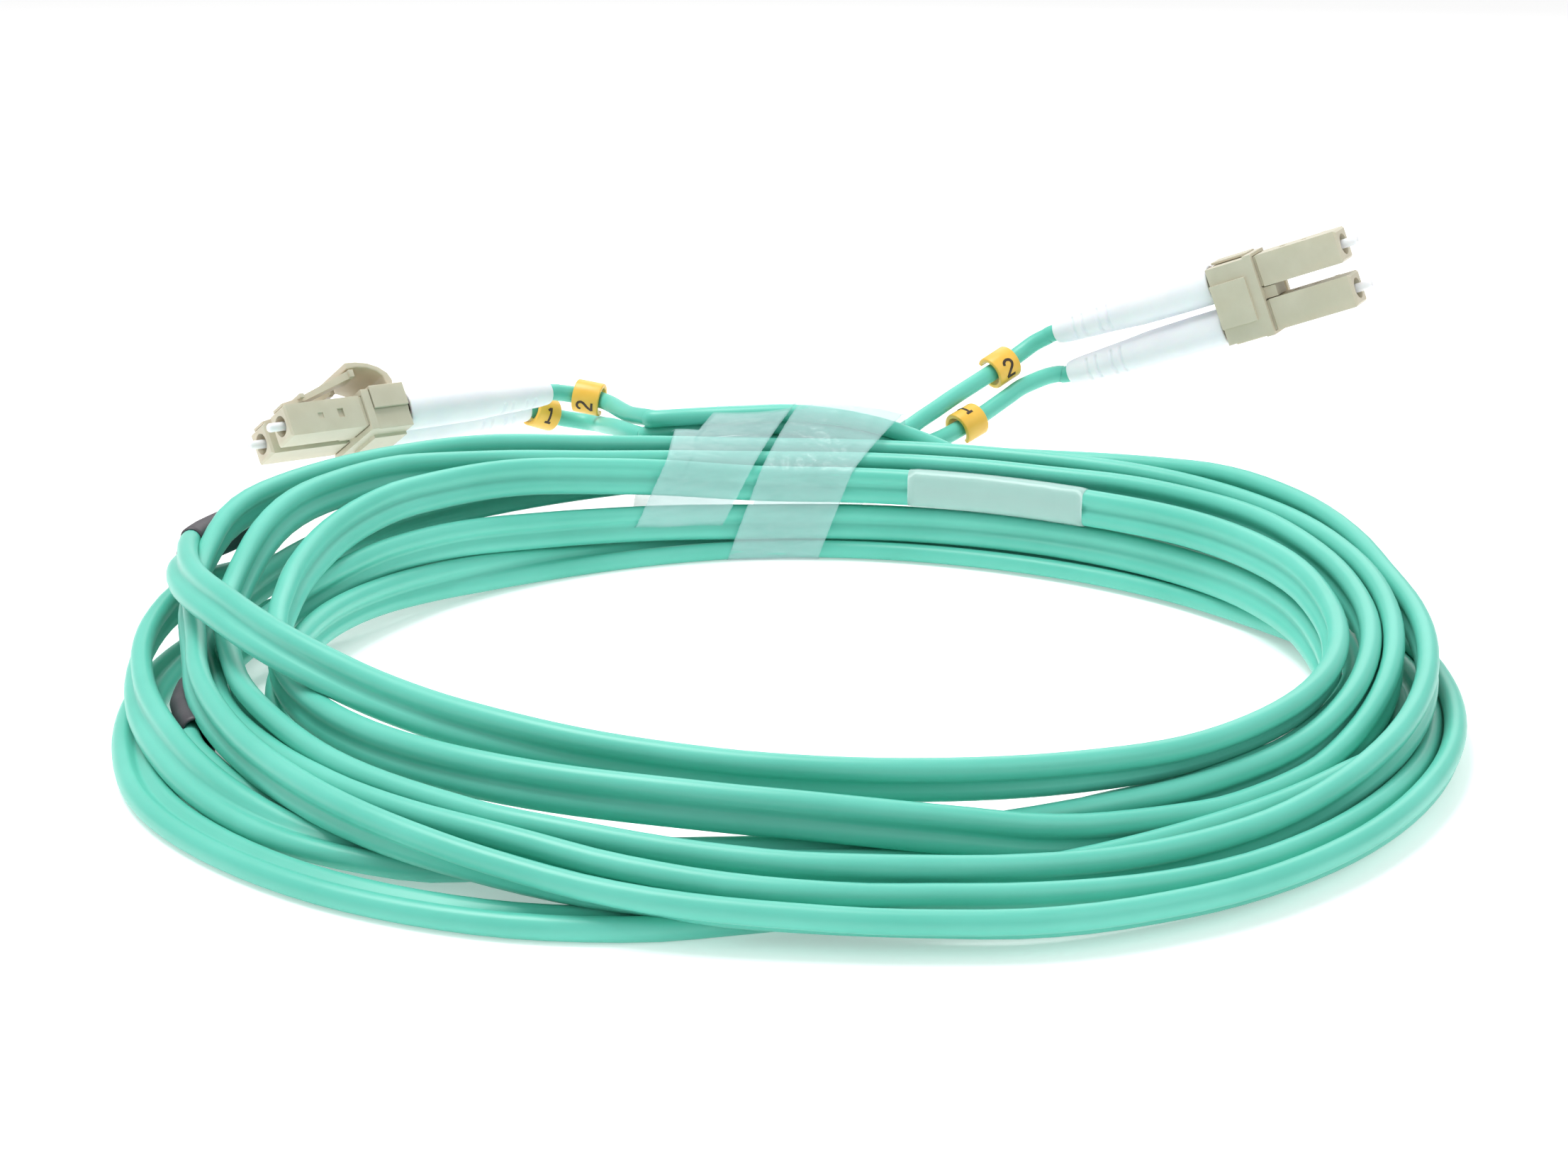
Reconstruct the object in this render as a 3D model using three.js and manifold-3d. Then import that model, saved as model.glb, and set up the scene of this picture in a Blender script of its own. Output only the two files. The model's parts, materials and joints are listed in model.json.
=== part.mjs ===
// Duplex fibre optic patch cord, coiled and tied, with a duplex plug pair on each end.
// Millimetres, +Z up. The coil lies on the plane z = 0 and the row's origin is the
// middle of the whole object's box, on that plane.
import * as THREE from 'three';
import { mergeVertices } from 'three/addons/utils/BufferGeometryUtils.js';
import Module from 'manifold-3d';

const wasm = await Module();
wasm.setup();

// ---------------------------------------------------------------- driving dimensions

// coil of flat two-lobe cord, eight turns
const COIL_INNER = 52.4; // inner radius at the front
const COIL_OUTER = 74.2; // outer radius
const COIL_SPLIT = 7.3; // height where the lower and upper turns part
const SPLIT_GAP = 0.8;
const COIL_STEPS = 60;
const EDGE = 0.8; // chamfer of the bundle's outer edge
const FILM_EDGE = 0.3; // chamfer of the film's corners

// the two wraps of clear film
const FILM = 0.35;
const FILM_GAP = 0.2;
const WRAP_WIDTH = 13.6;
const LEAN_RADIUS = 65.5; // the wraps lean about this radius
const WRAP_LEAN = THREE.MathUtils.degToRad(-0.57); // turn per mm of radius

// shrunk sleeves on the flat cord
const SLEEVE_WIDTH = 3.1;
const SLEEVE_HEIGHT = 5.4;
const SLEEVE_WALL = 0.4;
const LABEL_WIDTH = 2.9;
const LABEL_HEIGHT = 4.7;

// one simplex plug; x runs forward from 0 at the housing's front face
const PITCH = 6.25;
const HOUSING_WIDTH = 4.42;
const HOUSING_HEIGHT = 4.52;
const HOUSING_FRONT_LENGTH = 12;
const HOUSING_REAR = 18.6;
const REAR_WIDTH = 4.2;
const FRONT_BORE = 2.9;
const SHOULDER_BORE = 1.9;
const REAR_BORE = 3.4;
const FERRULE_DIAMETER = 1.25;
const FERRULE_OUT = 2.0; // how far the ferrule stands out of the housing
const FLANGE_DIAMETER = 2.6;
const SPRING_WIRE = 0.3;
const SPRING_DIAMETER = 2.2;
const SPRING_TURNS = 4;
const BUFFER_DIAMETER = 0.9;
const BOOT_START = 19.3;
const BOOT_END = 44;
const BOOT_DIAMETER = 5.5;
const BOOT_TAIL = 3.4;
const LEG_DIAMETER = 2.4;
const LEG_START = 25;

// duplex clip that holds two plugs side by side
const CLIP_FRONT = 12.1;
const CLIP_REAR = 18.9;
const CLIP_WIDTH = 11.5;
const CLIP_HEIGHT = 5.9;
const TRIGGER_WIDTH = 9.5;

// number ring clipped on each leg
const MARKER_INNER = 1.85;
const MARKER_OUTER = 2.4;
const MARKER_LENGTH = 4;
const MARKER_OPENING = THREE.MathUtils.degToRad(80);

// Where each plug pair lies, seen from the coil's centre: the middle of the pair's front
// faces, its forward direction and the direction from its first plug to its second.
const RIGHT_END = {
  name: 'right',
  face: new THREE.Vector3(75.3, 68.8, 38.5),
  forward: new THREE.Vector3(0.827, -0.437, 0.354),
  toSecond: new THREE.Vector3(-0.334, 0.125, 0.934),
  flip: -1,
};
const LEFT_END = {
  name: 'left',
  face: new THREE.Vector3(-70.6, 64.8, 16.0),
  forward: new THREE.Vector3(-0.762, -0.647, 0.028),
  toSecond: new THREE.Vector3(0.559, -0.635, 0.534),
  flip: 1,
};

// Each leg's way from the boot's tail to the wraps, chosen point by point.
const LEG_ROUTES = {
  right_1: [
    [38.4, 88.3, 19.8], [36.6, 88.0, 19.5], [34.6, 87.2, 18.9], [32.6, 86.1, 18.2],
    [30.8, 84.9, 17.2], [29.1, 83.6, 16.3], [27.4, 82.3, 15.4], [25.7, 80.9, 14.6],
    [23.7, 79.3, 13.8], [21.5, 77.6, 13.0], [19.3, 76.0, 12.4], [17.2, 74.7, 11.9],
    [15.2, 73.7, 11.8], [13.0, 72.9, 11.6],
  ],
  right_2: [
    [36.4, 89.1, 25.0], [34.7, 89.5, 24.0], [33.0, 89.2, 22.8], [31.2, 88.2, 21.7],
    [29.2, 86.8, 20.7], [27.0, 85.0, 19.7], [24.8, 83.2, 18.7], [22.4, 81.2, 17.6],
    [20.2, 79.3, 16.5], [18.2, 77.4, 15.6], [16.6, 75.6, 14.9], [15.0, 74.0, 14.4], [12.9, 72.9, 14.2],
  ],
  left_1: [
    [-37.2, 96.6, 12.5], [-35.5, 98.0, 11.7], [-33.9, 98.9, 11.0], [-32.0, 99.3, 10.6],
    [-30.2, 98.9, 10.4], [-28.8, 97.6, 10.5], [-28.0, 95.6, 10.8], [-27.5, 92.6, 11.4],
    [-27.0, 89.0, 12.1], [-26.2, 85.4, 12.8], [-25.1, 82.0, 13.4], [-23.8, 78.6, 13.8],
    [-22.2, 75.4, 14.0], [-20.4, 73.0, 14.0], [-18.0, 71.8, 13.9],
  ],
  left_2: [
    [-33.6, 92.7, 16.1], [-31.9, 93.5, 15.7], [-30.2, 93.8, 15.3], [-28.5, 93.4, 15.1],
    [-27.0, 92.2, 14.9], [-25.9, 90.4, 14.8], [-25.0, 87.8, 14.9], [-24.0, 85.0, 15.0],
    [-22.9, 82.0, 15.2], [-21.8, 79.2, 15.6], [-20.5, 76.6, 16.0], [-19.1, 74.1, 16.3], [-17.4, 72.4, 16.5],
  ],
};
// where each number ring sits, measured along its leg from the boot's tail
const MARKER_PLACES = { right_1: 19, right_2: 10.3, left_1: 2.8, left_2: 6.8 };

// ---------------------------------------------------------------- materials

function plain(color, roughness, metalness = 0) {
  return new THREE.MeshStandardMaterial({ color, roughness, metalness });
}
const AQUA = plain(0x35c2a8, 0.45);
const BEIGE = plain(0xc4bca4, 0.5);
const WHITE = plain(0xe6e8ea, 0.5);
const YELLOW = plain(0xe6b844, 0.45);
const CERAMIC = plain(0xf4f6fa, 0.2);
const STEEL = plain(0xb8bcc0, 0.3, 1);
const FILM_CLEAR = plain(0xdcebee, 0.25);
const DARK = plain(0x3a343b, 0.5);

// ---------------------------------------------------------------- solids

// Merge a geometry's corners, drop empty triangles and turn its faces outwards.
function solid(geometry) {
  const source = geometry.index ? geometry : geometry.clone();
  source.deleteAttribute('normal');
  source.deleteAttribute('uv');
  const merged = mergeVertices(source, 1e-4);
  const position = merged.attributes.position;
  const index = [];
  let volume = 0;
  const [a, b, c] = [new THREE.Vector3(), new THREE.Vector3(), new THREE.Vector3()];
  for (let i = 0; i < merged.index.count; i += 3) {
    const corners = [0, 1, 2].map((k) => merged.index.getX(i + k));
    if (new Set(corners).size < 3) continue;
    index.push(...corners);
    a.fromBufferAttribute(position, corners[0]);
    b.fromBufferAttribute(position, corners[1]);
    c.fromBufferAttribute(position, corners[2]);
    volume += a.dot(b.cross(c));
  }
  if (volume < 0) index.reverse();
  const out = new THREE.BufferGeometry();
  out.setAttribute('position', position);
  out.setIndex(index);
  return out;
}

function toManifold(geometry) {
  const clean = solid(geometry);
  const mesh = new wasm.Mesh({
    numProp: 3,
    vertProperties: new Float32Array(clean.attributes.position.array),
    triVerts: new Uint32Array(clean.index.array),
  });
  return new wasm.Manifold(mesh);
}

function fromManifold(manifold) {
  const mesh = manifold.getMesh();
  const geometry = new THREE.BufferGeometry();
  geometry.setAttribute('position', new THREE.BufferAttribute(mesh.vertProperties, 3));
  geometry.setIndex(Array.from(mesh.triVerts));
  return geometry;
}

function cut(body, ...tools) {
  let result = toManifold(body);
  for (const tool of tools) result = result.subtract(toManifold(tool));
  return fromManifold(result);
}

function join(first, ...others) {
  let result = toManifold(first);
  for (const other of others) result = result.add(toManifold(other));
  return fromManifold(result);
}

function box(x0, x1, y0, y1, z0, z1) {
  const geometry = new THREE.BoxGeometry(x1 - x0, y1 - y0, z1 - z0);
  return geometry.translate((x0 + x1) / 2, (y0 + y1) / 2, (z0 + z1) / 2);
}

// A rectangle in y and z, run along x with chamfered ends and edges.
function bar(x0, x1, width, height, chamfer) {
  const [w, h] = [width / 2 - chamfer, height / 2 - chamfer];
  const shape = new THREE.Shape();
  shape.moveTo(-w, -h).lineTo(w, -h).lineTo(w, h).lineTo(-w, h).closePath();
  const geometry = new THREE.ExtrudeGeometry(shape, {
    depth: x1 - x0 - 2 * chamfer,
    bevelThickness: chamfer,
    bevelSize: chamfer,
    bevelSegments: 1,
  });
  geometry.translate(0, 0, x0 + chamfer);
  return geometry.applyMatrix4(alongX());
}

// Maps a shape's x, y and depth onto y, z and x.
function alongX() {
  return new THREE.Matrix4().makeBasis(
    new THREE.Vector3(0, 1, 0), new THREE.Vector3(0, 0, 1), new THREE.Vector3(1, 0, 0),
  );
}

// A side outline in x and z, run across y.
function plate(outline, width, y = 0) {
  const shape = new THREE.Shape(outline.map(([x, z]) => new THREE.Vector2(x, z)));
  const geometry = new THREE.ExtrudeGeometry(shape, { depth: width, bevelEnabled: false });
  geometry.rotateX(Math.PI / 2);
  return geometry.translate(0, y + width / 2, 0);
}

// A profile of [x, radius] pairs turned about the x axis.
function turned(profile, sides) {
  const points = profile.map(([x, radius]) => new THREE.Vector2(radius, x));
  return new THREE.LatheGeometry(points, sides).rotateZ(-Math.PI / 2);
}

// ---------------------------------------------------------------- coil

// The bundle of turns at one angle: it is loose and low at the front, tied tight at the back.
function bundle(angle) {
  const back = Math.max(0, Math.sin(angle)) ** 2;
  const front = Math.max(0, -Math.sin(angle)) ** 2;
  return {
    inner: COIL_INNER + 6.5 * back,
    outer: COIL_OUTER - 2.2 * back,
    shoulder: COIL_OUTER - 3.8 + 1.6 * Math.sin(angle) - 6.5 * front,
    top: 12.7 + 1.5 * Math.sin(angle) - 1.1 * Math.cos(angle),
  };
}

function chamferedBox(r0, r1, z0, z1, c) {
  return [
    [r0, z0 + c], [r0 + c, z0], [r1 - c, z0], [r1, z0 + c],
    [r1, z1 - c], [r1 - c, z1], [r0 + c, z1], [r0, z1 - c],
  ];
}

function lowerOutline(angle) {
  const { inner, outer, shoulder } = bundle(angle);
  const top = COIL_SPLIT - SPLIT_GAP / 2;
  const ledge = Math.min(shoulder + 1.5, outer - 0.6);
  return [
    [inner, 0.6], [inner + 0.6, 0], [outer - EDGE, 0], [outer, EDGE],
    [outer, 3.5], [ledge, top], [inner + 0.4, top], [inner, top - 0.4],
  ];
}

function upperOutline(angle) {
  const { inner, shoulder, top } = bundle(angle);
  const bottom = COIL_SPLIT + SPLIT_GAP / 2;
  return chamferedBox(inner, shoulder, bottom, top, 0.4);
}

// An oval on edge, in radius and height.
function ovalOutline(radius, height, width, tall, sides = 12) {
  const half = width / 2;
  const rise = tall / 2 - half;
  return Array.from({ length: sides }, (_, i) => {
    const turn = ((i + 0.5) / sides) * 2 * Math.PI;
    const lift = Math.sin(turn) > 0 ? rise : -rise;
    return [radius + half * Math.cos(turn), height + lift + half * Math.sin(turn)];
  });
}

// Runs an outline of radius and height round the coil's axis, over part of a turn or all of it.
function sector(outlineAt, from, to, steps, lean = 0) {
  const whole = to - from > 2 * Math.PI - 1e-6;
  const rows = whole ? steps : steps + 1;
  const count = outlineAt(from).length;
  const position = [];
  for (let i = 0; i < rows; i += 1) {
    const angle = from + ((to - from) * i) / steps;
    for (const [radius, z] of outlineAt(angle)) {
      const leant = angle + lean * (radius - LEAN_RADIUS);
      position.push(radius * Math.cos(leant), radius * Math.sin(leant), z);
    }
  }
  const index = [];
  for (let i = 0; i < steps; i += 1) {
    for (let k = 0; k < count; k += 1) {
      const next = (k + 1) % count;
      const [row, after] = [i * count, ((i + 1) % rows) * count];
      index.push(row + k, row + next, after + next, row + k, after + next, after + k);
    }
  }
  for (let k = 1; !whole && k < count - 1; k += 1) {
    const last = (rows - 1) * count;
    index.push(0, k + 1, k, last, last + k, last + k + 1);
  }
  const geometry = new THREE.BufferGeometry();
  geometry.setAttribute('position', new THREE.Float32BufferAttribute(position, 3));
  geometry.setIndex(index);
  return geometry;
}

const degrees = THREE.MathUtils.degToRad;

// A film of even thickness round the turns between two heights, over a short arc.
function wrap(middle, bottomAt, lift) {
  const half = WRAP_WIDTH / LEAN_RADIUS / 2;
  const shell = (grow, bottom) => (angle) => {
    const { inner } = bundle(angle + WRAP_LEAN * (COIL_INNER - LEAN_RADIUS));
    const { outer, shoulder } = bundle(angle + WRAP_LEAN * (COIL_OUTER - LEAN_RADIUS));
    const { top } = bundle(angle);
    return chamferedBox(inner - grow, Math.max(outer, shoulder) + grow, bottom, top + grow, FILM_EDGE);
  };
  const outside = shell(FILM_GAP + FILM, bottomAt);
  const inside = shell(FILM_GAP, bottomAt + lift);
  return cut(
    sector(outside, middle - half, middle + half, 6, WRAP_LEAN),
    sector(inside, middle - half - 0.02, middle + half + 0.02, 6, WRAP_LEAN),
  );
}

function sleeve(radius, height, width, tall, from, to) {
  const outer = (angle) => ovalOutline(radius(angle), height, width, tall);
  const hole = (angle) =>
    ovalOutline(radius(angle), height, width - 2 * SLEEVE_WALL, tall - 2 * SLEEVE_WALL);
  return cut(sector(outer, from, to, 6), sector(hole, from - 0.02, to + 0.02, 6));
}

function splitSleeve(radius, height, arc) {
  return sleeve(() => radius, height, SLEEVE_WIDTH, SLEEVE_HEIGHT, ...arc);
}

// label sleeve: on the innermost upper turn, right of the wraps
const LABEL_ARC = [degrees(51), degrees(75)];
const LABEL_HEIGHT_AT = 10.4;
const labelRadius = (angle) => bundle(angle).inner + LABEL_WIDTH / 2 + 0.1;
// the sleeve where the left pair's legs split off lies sunk among the lower turns
const LEFT_SPLIT_ARC = [degrees(190), degrees(203)];
const LEFT_SPLIT_RADIUS = 66.5;
const LEFT_SPLIT_HEIGHT = 3.9;
// the one for the right pair stands on edge against the outside of the upper turns
const RIGHT_SPLIT_ARC = [degrees(157), degrees(169.5)];
const RIGHT_SPLIT_RADIUS = 73.4;
const RIGHT_SPLIT_HEIGHT = 12.9;

const RIGHT_WRAP_AT = degrees(88.5);
const LEFT_WRAP_AT = degrees(102.3);
const WRAP_SEAT = FILM + FILM_GAP; // how deep the film is let in under the coil

function coilLower() {
  const ring = sector(lowerOutline, 0, 2 * Math.PI, COIL_STEPS);
  const room = 0.3;
  const half = SLEEVE_WIDTH / 2 + room;
  const pocket = () => chamferedBox(
    LEFT_SPLIT_RADIUS - half, LEFT_SPLIT_RADIUS + half,
    LEFT_SPLIT_HEIGHT - SLEEVE_HEIGHT / 2 - room, COIL_SPLIT + 1, 0.3,
  );
  const reach = WRAP_WIDTH / LEAN_RADIUS / 2 + 0.02;
  const radii = [COIL_INNER - 1, 58, LEAN_RADIUS, 72, COIL_OUTER + 2];
  const seat = () => [
    ...radii.map((radius) => [radius, -1]),
    ...radii.toReversed().map((radius) => [radius, WRAP_SEAT]),
  ];
  return cut(
    ring,
    sector(pocket, LEFT_SPLIT_ARC[0] - 0.02, LEFT_SPLIT_ARC[1] + 0.02, 6),
    sector(seat, RIGHT_WRAP_AT - reach, RIGHT_WRAP_AT + reach, 6, WRAP_LEAN),
  );
}

function coilUpper() {
  const ring = sector(upperOutline, 0, 2 * Math.PI, COIL_STEPS);
  const room = 0.2;
  const outer = (angle) => ovalOutline(
    labelRadius(angle), LABEL_HEIGHT_AT, LABEL_WIDTH + 2 * room, LABEL_HEIGHT + 2 * room,
  );
  const shrink = 2 * (SLEEVE_WALL + room);
  const core = (angle) => ovalOutline(
    labelRadius(angle), LABEL_HEIGHT_AT, LABEL_WIDTH - shrink, LABEL_HEIGHT - shrink,
  );
  const slot = cut(
    sector(outer, LABEL_ARC[0] - 0.005, LABEL_ARC[1] + 0.005, 8),
    sector(core, LABEL_ARC[0] - 0.1, LABEL_ARC[1] + 0.1, 8),
  );
  return cut(ring, slot);
}

// ---------------------------------------------------------------- one plug

// The stretch from `from` to `to` on the side that `way` names, 1 or -1, smaller value first.
function span(way, from, to) {
  return way > 0 ? [from, to] : [-to, -from];
}

function housing() {
  const front = bar(-HOUSING_FRONT_LENGTH, 0, HOUSING_WIDTH, HOUSING_HEIGHT, 0.3);
  const rear = bar(-HOUSING_REAR, -HOUSING_FRONT_LENGTH + 1, REAR_WIDTH, REAR_WIDTH, 0.3);
  const bore = turned([
    [-HOUSING_REAR - 1, 0], [-HOUSING_REAR - 1, REAR_BORE / 2], [-5.6, REAR_BORE / 2],
    [-5.6, SHOULDER_BORE / 2], [-5, SHOULDER_BORE / 2], [-5, FRONT_BORE / 2],
    [1, FRONT_BORE / 2], [1, 0],
  ], 16);
  const side = HOUSING_WIDTH / 2;
  const marks = [-1, 1].flatMap((way) => {
    const window = box(-8.8, -7.9, ...span(way, side - 0.35, side + 1), -0.5, 0.75);
    const dimple = box(-5.6, -4.8, ...span(way, side - 0.15, side + 1), -0.3, 0.5);
    return [window, dimple];
  });
  return cut(join(front, rear), bore, ...marks);
}

function latch() {
  const arm = plate([
    [-0.35, 2.36], [-0.35, 2.75], [-2.9, 3.2], [-11.6, 6.2], [-12.5, 6.3],
    [-12.5, 5.2], [-11.6, 5.1], [-4, 2.75], [-1.3, 2.36],
  ], 2.7);
  const ears = box(-3.7, -3.0, -2.15, 2.15, 3.0, 3.6);
  const end = box(-12.5, -11.8, -1.8, 1.8, 5.25, 6.3);
  return join(arm, ears, end);
}

function ferrule() {
  const radius = FERRULE_DIAMETER / 2;
  return turned([
    [-8, 0], [-8, radius], [FERRULE_OUT - 0.3, radius], [FERRULE_OUT, radius - 0.2], [FERRULE_OUT, 0],
  ], 16);
}

function flange() {
  const bore = FERRULE_DIAMETER / 2 + 0.06;
  return turned([
    [-5.9, bore], [-5.9, FLANGE_DIAMETER / 2], [-8.4, FLANGE_DIAMETER / 2],
    [-8.4, 0.85], [-9.6, 0.85], [-9.6, bore], [-5.9, bore],
  ], 16);
}

class Helix extends THREE.Curve {
  getPoint(t, target = new THREE.Vector3()) {
    const turn = t * SPRING_TURNS * 2 * Math.PI;
    const radius = SPRING_DIAMETER / 2;
    return target.set(-8.65 - 4.5 * t, radius * Math.cos(turn), radius * Math.sin(turn));
  }
}

function circle(radius, sides) {
  const corners = Array.from({ length: sides }, (_, i) => {
    const turn = (i / sides) * 2 * Math.PI;
    return new THREE.Vector2(radius * Math.cos(turn), radius * Math.sin(turn));
  });
  return new THREE.Shape(corners);
}

function spring() {
  return new THREE.ExtrudeGeometry(circle(SPRING_WIRE / 2, 4), {
    steps: SPRING_TURNS * 9,
    extrudePath: new Helix(),
  });
}

function bufferTube() {
  const radius = BUFFER_DIAMETER / 2;
  return turned([[-23.4, 0], [-23.4, radius], [-8.3, radius], [-8.3, 0]], 8);
}

function stopBody() {
  return turned([
    [-13.6, 0.8], [-13.6, 1.55], [-18.7, 1.55], [-18.7, 2.0], [-19.2, 2.0],
    [-19.2, 1.3], [-23, 1.3], [-23, 0.8], [-13.6, 0.8],
  ], 12);
}

function crimpSleeve() {
  return turned([[-19.4, 1.5], [-19.4, 1.85], [-24, 1.85], [-24, 1.5], [-19.4, 1.5]], 12);
}

function boot() {
  const [full, tail, end] = [BOOT_DIAMETER / 2, BOOT_TAIL / 2, BOOT_END];
  return turned([
    [-BOOT_START, 2.08], [-BOOT_START, full], [-BOOT_START - 4.7, full],
    [-end + 13, full - 0.12], [-end + 8, 2.25], [-end + 4, 2.03], [-end + 0.6, tail],
    [-end, tail - 0.15], [-end, 1.42], [-24.4, 1.42], [-24.4, 2.08], [-BOOT_START, 2.08],
  ], 20);
}

// ---------------------------------------------------------------- duplex clip

function clipBase() {
  const collar = box(-CLIP_FRONT - 1.2, -CLIP_FRONT, -CLIP_WIDTH / 2, CLIP_WIDTH / 2,
    -CLIP_HEIGHT / 2, CLIP_HEIGHT / 2);
  const body = box(-CLIP_REAR, -CLIP_FRONT - 1, -5.45, 5.45, -CLIP_HEIGHT / 2, 2.7);
  const pad = box(-CLIP_REAR, -13.7, -3.1, 3.1, -3.4, -CLIP_HEIGHT / 2 + 0.2);
  const web = box(-CLIP_FRONT - 0.5, -10.3, -0.8, 0.8, -1.9, 1.9);
  const room = REAR_WIDTH / 2 + 0.1;
  const holes = [-PITCH / 2, PITCH / 2].map(
    (y) => box(-CLIP_REAR - 1, -CLIP_FRONT + 1, y - room, y + room, -room, room),
  );
  return cut(join(collar, body, pad, web), ...holes);
}

function clipCover() {
  const [x0, x1] = [-CLIP_REAR, -CLIP_FRONT - 1.35];
  const top = box(x0, x1, -5.95, 5.95, 2.8, 3.3);
  const flaps = [-1, 1].map((side) => {
    const [y0, y1] = side < 0 ? [-5.95, -5.55] : [5.55, 5.95];
    return box(x0, x1, y0, y1, 0, 3.1);
  });
  return join(top, ...flaps);
}

function trigger() {
  return plate([
    [-18.1, 3.45], [-18.3, 4.2], [-17.9, 5.3], [-16.8, 6.3], [-15.2, 7.05], [-13.4, 7.4], [-11.7, 7.45],
    [-11.7, 6.5], [-13.4, 6.6], [-14.9, 6.35], [-16.3, 5.7], [-17, 4.9], [-17.2, 3.45],
  ], TRIGGER_WIDTH);
}

// ---------------------------------------------------------------- legs and number rings

function legPath(name, end, y) {
  const start = new THREE.Vector3(-LEG_START, y, 0).applyMatrix4(end);
  const middle = new THREE.Vector3(-(LEG_START + BOOT_END) / 2, y, 0).applyMatrix4(end);
  const exit = new THREE.Vector3(-BOOT_END, y, 0).applyMatrix4(end);
  const route = LEG_ROUTES[name].map((point) => new THREE.Vector3(...point));
  return new THREE.CatmullRomCurve3([start, middle, exit, ...route], false, 'centripetal');
}

function leg(path) {
  return new THREE.ExtrudeGeometry(circle(LEG_DIAMETER / 2, 8), { steps: 20, extrudePath: path });
}

// A short tube with a slot along one side, in x and y, run along z.
function markerRing() {
  const [from, to] = [MARKER_OPENING / 2, 2 * Math.PI - MARKER_OPENING / 2];
  const shape = new THREE.Shape();
  shape.absarc(0, 0, MARKER_OUTER, from, to, false);
  shape.absarc(0, 0, MARKER_INNER, to, from, true);
  const geometry = new THREE.ExtrudeGeometry(shape, {
    depth: MARKER_LENGTH,
    bevelEnabled: false,
    curveSegments: 14,
  });
  return geometry.translate(0, 0, -MARKER_LENGTH / 2);
}

// Stands a number ring on its leg, with its slot turned towards `open`.
function markerPlace(path, along, open) {
  const middle = BOOT_END - LEG_START + along;
  const pointAt = (distance) => path.getPointAt(distance / path.getLength());
  const [before, after] = [pointAt(middle - MARKER_LENGTH / 2), pointAt(middle + MARKER_LENGTH / 2)];
  const axis = after.clone().sub(before).normalize();
  const side = new THREE.Vector3(...open).projectOnPlane(axis).normalize();
  const across = new THREE.Vector3().crossVectors(axis, side);
  const centre = before.lerp(after, 0.5).lerp(pointAt(middle), 0.5);
  return new THREE.Matrix4().makeBasis(side, across, axis).setPosition(centre);
}

const MARKER_OPENINGS = {
  right_1: [0.2, 0.2, -1], right_2: [0.5, 1, 0.3], left_1: [0, 1, -0.2], left_2: [-0.2, 1, -0.6],
};

// ---------------------------------------------------------------- assembly

const patchCord = new THREE.Group();

function add(parent, name, geometry, material) {
  const mesh = new THREE.Mesh(solid(geometry), material);
  mesh.name = name;
  parent.add(mesh);
}

// A plug pair's own frame: x forward, y across the two plugs, z towards the latches.
function endFrame({ face, forward, toSecond, flip }) {
  const x = forward.clone().normalize();
  const y = toSecond.clone().projectOnPlane(x).normalize().multiplyScalar(flip);
  const z = new THREE.Vector3().crossVectors(x, y);
  return new THREE.Matrix4().makeBasis(x, y, z).setPosition(face);
}

// A plug pair: plug 1 and plug 2 side by side in their clip, with their legs and number rings.
function plugPair(end) {
  const matrix = endFrame(end);
  const pair = new THREE.Group();
  pair.applyMatrix4(matrix);
  patchCord.add(pair);

  for (const number of [1, 2]) {
    const offset = (number === 1 ? -1 : 1) * end.flip * (PITCH / 2);
    const plug = new THREE.Group();
    plug.position.y = offset;
    pair.add(plug);
    const pieces = [
      ['housing', housing(), BEIGE],
      ['latch', latch(), BEIGE],
      ['ferrule', ferrule(), CERAMIC],
      ['flange', flange(), STEEL],
      ['spring', spring(), STEEL],
      ['buffer_tube', bufferTube(), WHITE],
      ['stop_body', stopBody(), BEIGE],
      ['crimp_sleeve', crimpSleeve(), STEEL],
      ['boot', boot(), WHITE],
    ];
    for (const [piece, geometry, material] of pieces) {
      add(plug, `${end.name}_${piece}_${number}`, geometry, material);
    }

    const key = `${end.name}_${number}`;
    const path = legPath(key, matrix, offset);
    add(patchCord, `${end.name}_leg_${number}`, leg(path), AQUA);
    const place = markerPlace(path, MARKER_PLACES[key], MARKER_OPENINGS[key]);
    add(patchCord, `${end.name}_marker_${number}`, markerRing().applyMatrix4(place), YELLOW);
  }

  add(pair, `${end.name}_clip_base`, clipBase(), BEIGE);
  add(pair, `${end.name}_clip_cover`, clipCover(), BEIGE);
  add(pair, `${end.name}_trigger`, trigger(), BEIGE);
}

add(patchCord, 'coil_lower', coilLower(), AQUA);
add(patchCord, 'coil_upper', coilUpper(), AQUA);
add(patchCord, 'left_wrap', wrap(LEFT_WRAP_AT, COIL_SPLIT - 0.2, 0.4), FILM_CLEAR);
add(patchCord, 'right_wrap', wrap(RIGHT_WRAP_AT, 0, FILM), FILM_CLEAR);
add(patchCord, 'label_sleeve',
  sleeve(labelRadius, LABEL_HEIGHT_AT, LABEL_WIDTH, LABEL_HEIGHT, ...LABEL_ARC), FILM_CLEAR);
add(patchCord, 'left_split_sleeve',
  splitSleeve(LEFT_SPLIT_RADIUS, LEFT_SPLIT_HEIGHT, LEFT_SPLIT_ARC), DARK);
add(patchCord, 'right_split_sleeve',
  splitSleeve(RIGHT_SPLIT_RADIUS, RIGHT_SPLIT_HEIGHT, RIGHT_SPLIT_ARC), DARK);
plugPair(RIGHT_END);
plugPair(LEFT_END);

// Stand the whole object on z = 0 with the middle of its box over the origin.
patchCord.updateMatrixWorld(true);
const extent = new THREE.Box3().setFromObject(patchCord, true);
const middle = extent.getCenter(new THREE.Vector3());
patchCord.position.set(-middle.x, -middle.y, -extent.min.z);
patchCord.updateMatrixWorld(true);

export default patchCord;
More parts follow.
